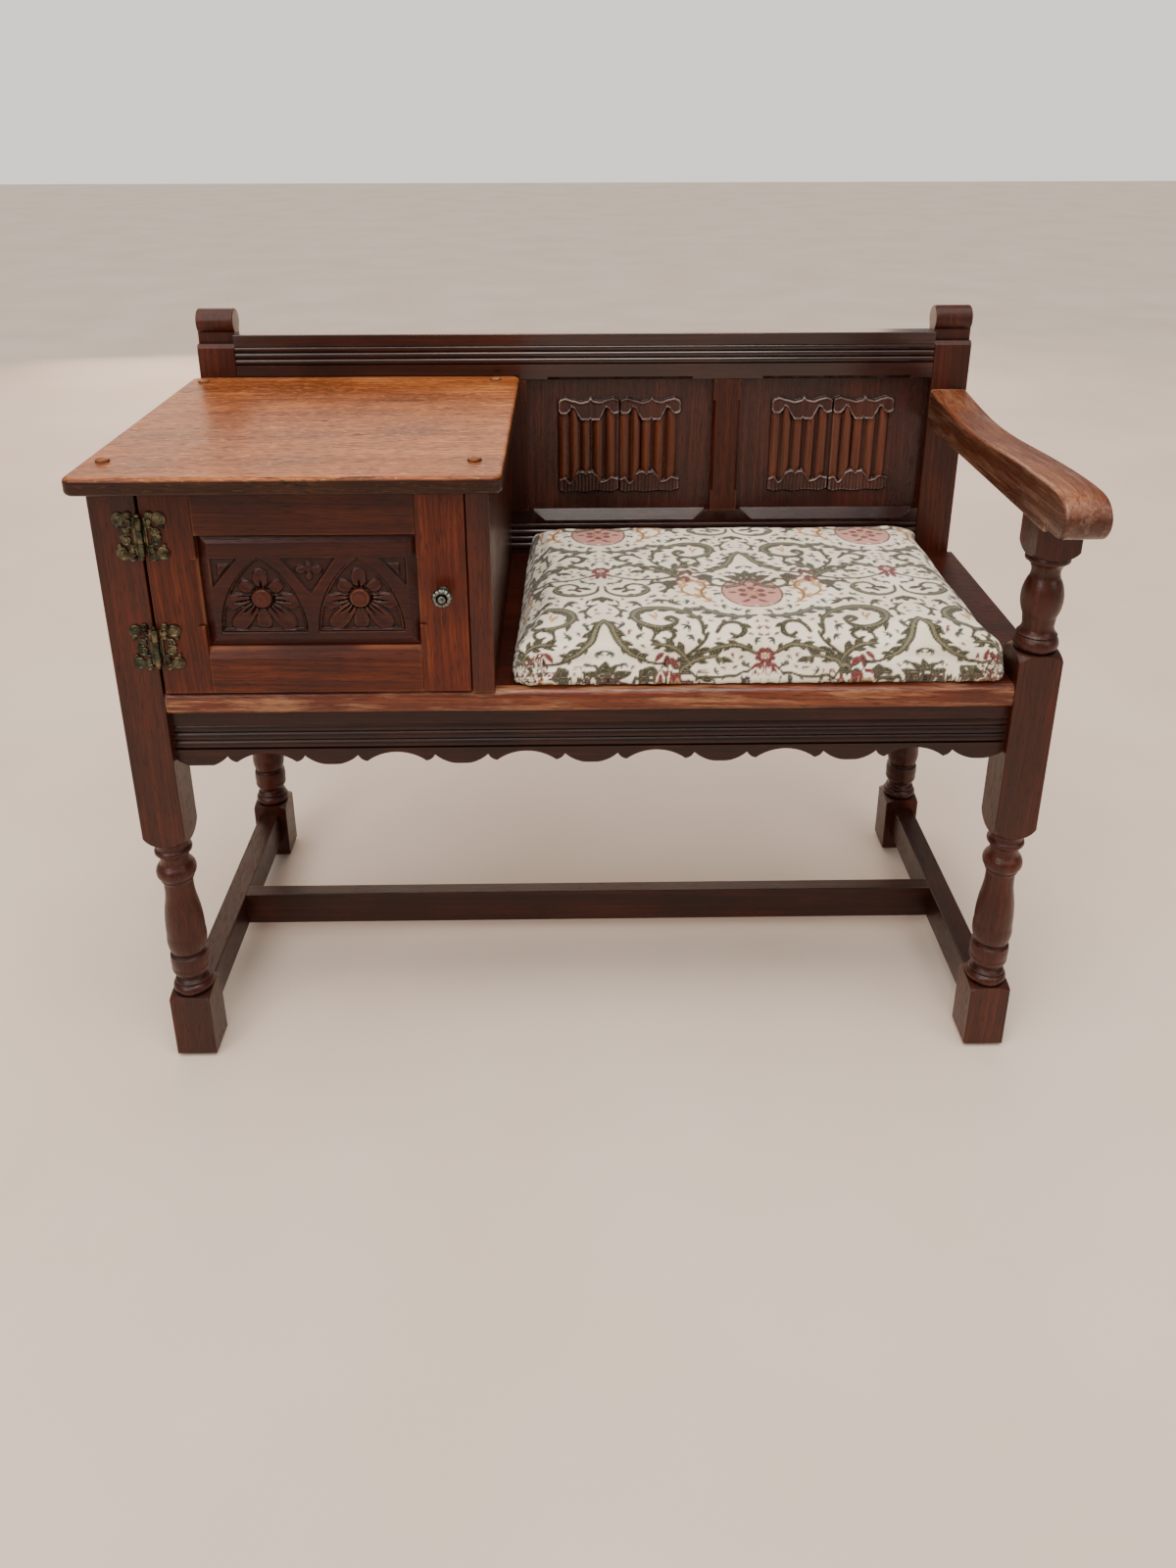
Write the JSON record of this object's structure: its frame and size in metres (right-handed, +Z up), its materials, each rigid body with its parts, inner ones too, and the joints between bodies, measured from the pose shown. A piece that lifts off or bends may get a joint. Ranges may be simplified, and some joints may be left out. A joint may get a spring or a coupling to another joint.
{
  "type": "entryway bench",
  "caption": "Dark oak telephone seat: an upholstered seat with one arm beside a small cupboard with a table top, on turned legs.",
  "frame": {"origin": "centre of the overall footprint, on the floor", "axes": "+Z up, the front faces -Y, +X to the right with the cupboard at -X and the arm at +X"},
  "size_m": [0.945, 0.4671, 0.77],
  "materials": {
    "oak_frame": "dark stained and waxed",
    "oak_top": "stained, waxed, satin",
    "oak_arm": "stained, worn and polished",
    "oak_board": "stained, satin",
    "oak_carved": "dark stained, carved",
    "oak_inside": "thin stain, matt",
    "plywood": "bare",
    "tapestry": "woven tapestry",
    "antique_brass": "darkened antique",
    "pewter": "antique pewter",
    "steel": "zinc plated",
    "catch_plastic": "brown moulded"
  },
  "bodies": {
    "root": {"front_left_leg": "oak_frame", "front_right_leg": "oak_frame", "back_left_post": "oak_frame", "back_right_post": "oak_frame", "left_stretcher": "oak_frame", "right_stretcher": "oak_frame", "centre_stretcher": "oak_frame", "front_apron": "oak_frame", "top_back_rail": "oak_frame", "lower_back_rail": "oak_frame", "back_muntin": "oak_frame", "back_left_stile": "oak_frame", "cabinet_right_stile": "oak_frame", "cabinet_right_side": "oak_frame", "cabinet_left_side": "oak_frame", "seat_nosing": "oak_frame", "table_top": "oak_top", "top_pellets": "oak_top", "right_arm": "oak_arm", "arm_screw_plug": "oak_arm", "seat_board": "oak_board", "left_linenfold_panel": "oak_carved", "right_linenfold_panel": "oak_carved", "cabinet_back_panel": "oak_inside", "left_top_cleat": "oak_inside", "right_top_cleat": "oak_inside", "left_seat_rail": "oak_inside", "right_seat_rail": "oak_inside", "back_seat_rail": "oak_inside", "corner_blocks": "oak_inside", "seat_pad_board": "plywood", "seat_pad": "tapestry", "upper_hinge_leg_leaf": "antique_brass", "lower_hinge_leg_leaf": "antique_brass", "hinge_pins": "antique_brass", "hinge_leg_screws": "antique_brass", "corner_block_screws": "steel", "seat_pad_screws": "steel", "top_screws": "steel", "top_cleat_screws": "steel", "arm_screw": "steel", "catch_screws": "steel", "catch_body": "catch_plastic"},
    "door": {"door_left_stile": "oak_frame", "door_right_stile": "oak_frame", "door_top_rail": "oak_frame", "door_bottom_rail": "oak_frame", "door_carved_panel": "oak_carved", "door_knob": "pewter", "knob_screw": "steel", "catch_plate": "steel", "catch_plate_screw": "steel", "upper_hinge_door_leaf": "antique_brass", "lower_hinge_door_leaf": "antique_brass", "hinge_door_screws": "antique_brass"}
  },
  "joints": [
    {"name": "door_swing", "type": "hinge", "parent": "root", "child": "door", "pos_m": [-0.41875, -0.184, 0.568], "axis": [0, 0, -1], "range_deg": [0, 170]}
  ]
}
